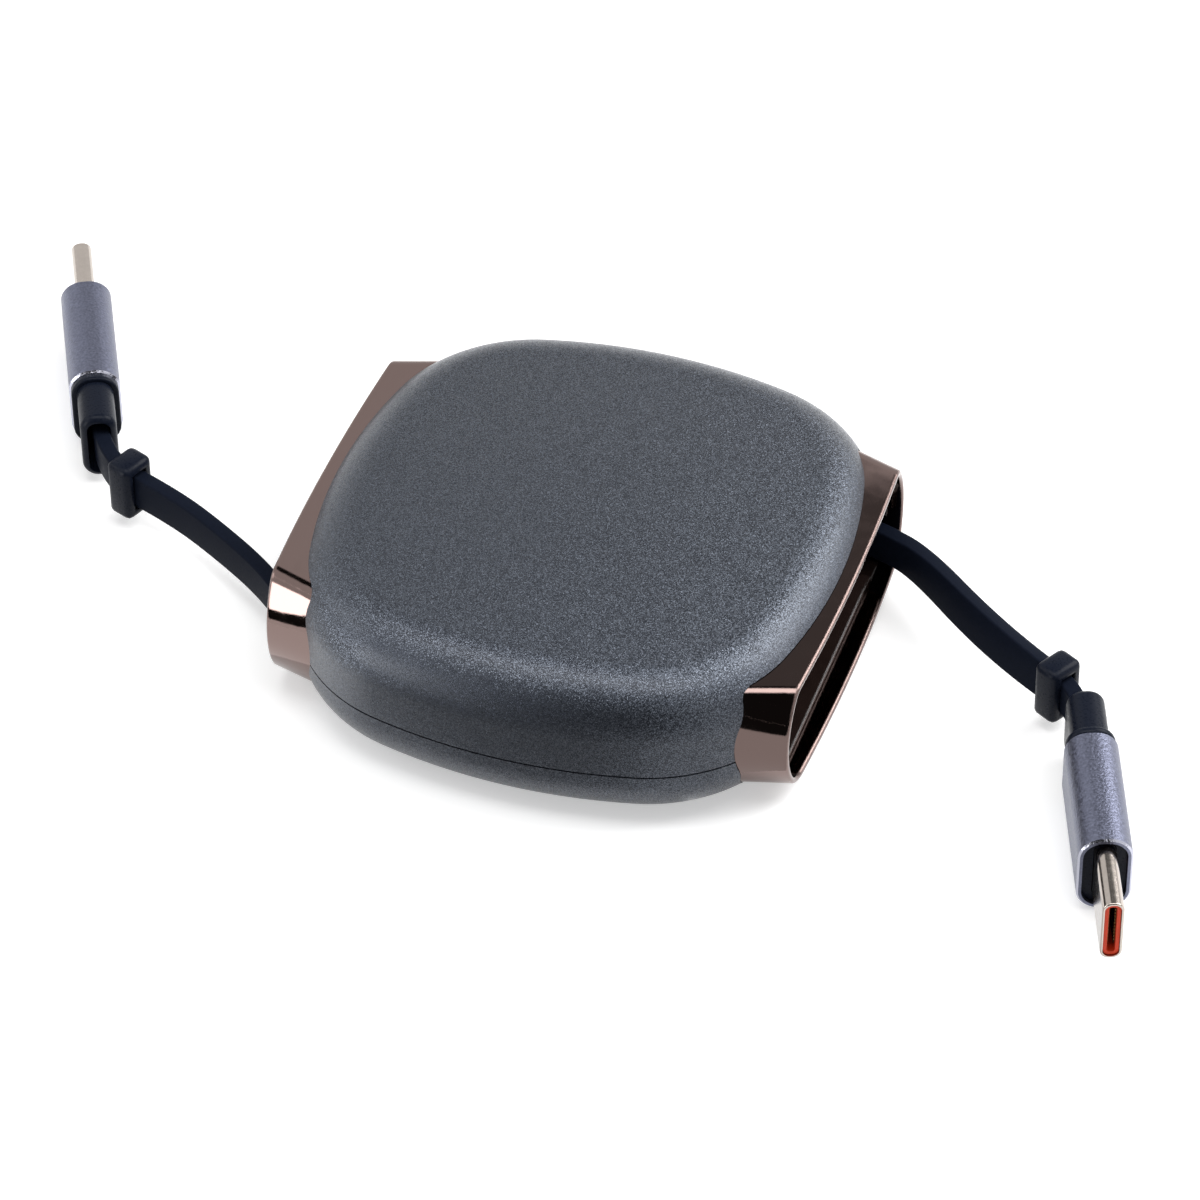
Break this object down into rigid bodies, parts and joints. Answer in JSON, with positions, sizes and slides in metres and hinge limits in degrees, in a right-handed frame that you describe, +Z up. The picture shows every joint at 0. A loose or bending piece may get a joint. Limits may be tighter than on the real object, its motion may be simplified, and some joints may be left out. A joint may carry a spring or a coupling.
{
  "type": "retractable charging cable reel",
  "caption": "Pebble-shaped reel with a plated mouth at each end, from which flat cables pull out to folding USB-C plugs that park inside the mouths.",
  "frame": {"origin": "middle of the underside, on the reel's axis", "axes": "+X from the left mouth to the right mouth, +Y to the back, +Z up along the reel's axis"},
  "size_m": [0.1492, 0.0694, 0.0196],
  "materials": {
    "housing": "dark grey metallic paint with a fine sparkle",
    "plated_trim": "mirror-bright dark plating",
    "black_moulding": "satin black",
    "reel_moulding": "plain black moulding",
    "cable_jacket": "soft black jacket",
    "steel": "plain steel",
    "anodised_sleeve": "blasted, anodised violet grey, bright chamfers",
    "plug_shell": "satin nickel plating",
    "orange_liner": "moulded orange",
    "contacts": "gold plating",
    "board": "solder mask"
  },
  "bodies": {
    "housing": {"top_cover": "housing", "bottom_cover": "housing", "right_bezel": "plated_trim", "left_bezel": "plated_trim", "right_cradle": "black_moulding", "left_cradle": "black_moulding", "spindle": "steel", "ball_guide": "reel_moulding", "power_spring": "steel", "right_cable": "cable_jacket", "left_cable": "cable_jacket"},
    "reel": {"spool": "reel_moulding", "spool_cap": "reel_moulding", "wound_cable": "cable_jacket"},
    "lock": {"lock_ball": "steel"},
    "right_lead": {"right_stop": "black_moulding", "right_tail": "cable_jacket"},
    "right_plug": {"right_sleeve": "anodised_sleeve", "right_core": "black_moulding", "right_shell": "plug_shell", "right_liner": "orange_liner", "right_contacts": "contacts", "right_board": "board", "right_strain_relief": "black_moulding"},
    "left_lead": {"left_stop": "black_moulding", "left_tail": "cable_jacket"},
    "left_plug": {"left_sleeve": "anodised_sleeve", "left_core": "black_moulding", "left_shell": "plug_shell", "left_liner": "orange_liner", "left_contacts": "contacts", "left_board": "board", "left_strain_relief": "black_moulding"}
  },
  "joints": [
    {"name": "spool_turn", "type": "hinge", "parent": "housing", "child": "reel", "pos_m": [0, 0, 0.008], "axis": [0, 0, -1], "range_deg": [-33, 800], "deforming": ["power_spring"]},
    {"name": "right_pull", "type": "slide", "parent": "housing", "child": "right_lead", "axis": [1, 0, 0], "range_m": [-0.0102, 0.2415], "deforming": ["right_cable"]},
    {"name": "left_pull", "type": "slide", "parent": "housing", "child": "left_lead", "axis": [-1, 0, 0], "range_m": [-0.0102, 0.2415], "deforming": ["left_cable"]},
    {"name": "right_fold", "type": "hinge", "parent": "right_lead", "child": "right_plug", "pos_m": [0.0578, 0, 0.0052], "axis": [0, 0, 1], "range_deg": [-45, 39], "deforming": ["right_tail"]},
    {"name": "left_fold", "type": "hinge", "parent": "left_lead", "child": "left_plug", "pos_m": [-0.06075, 0.0026, 0.0052], "axis": [0, 0, 1], "range_deg": [-45, 43], "deforming": ["left_tail"]},
    {"name": "lock_slide", "type": "slide", "parent": "housing", "child": "lock", "axis": [1, 0, 0], "range_m": [-0.0007, 0.0007]}
  ],
  "couplings": [
    {"joint": "right_pull", "follows": "spool_turn", "m_per_rad": 0.0172},
    {"joint": "left_pull", "follows": "spool_turn", "m_per_rad": 0.0172}
  ]
}
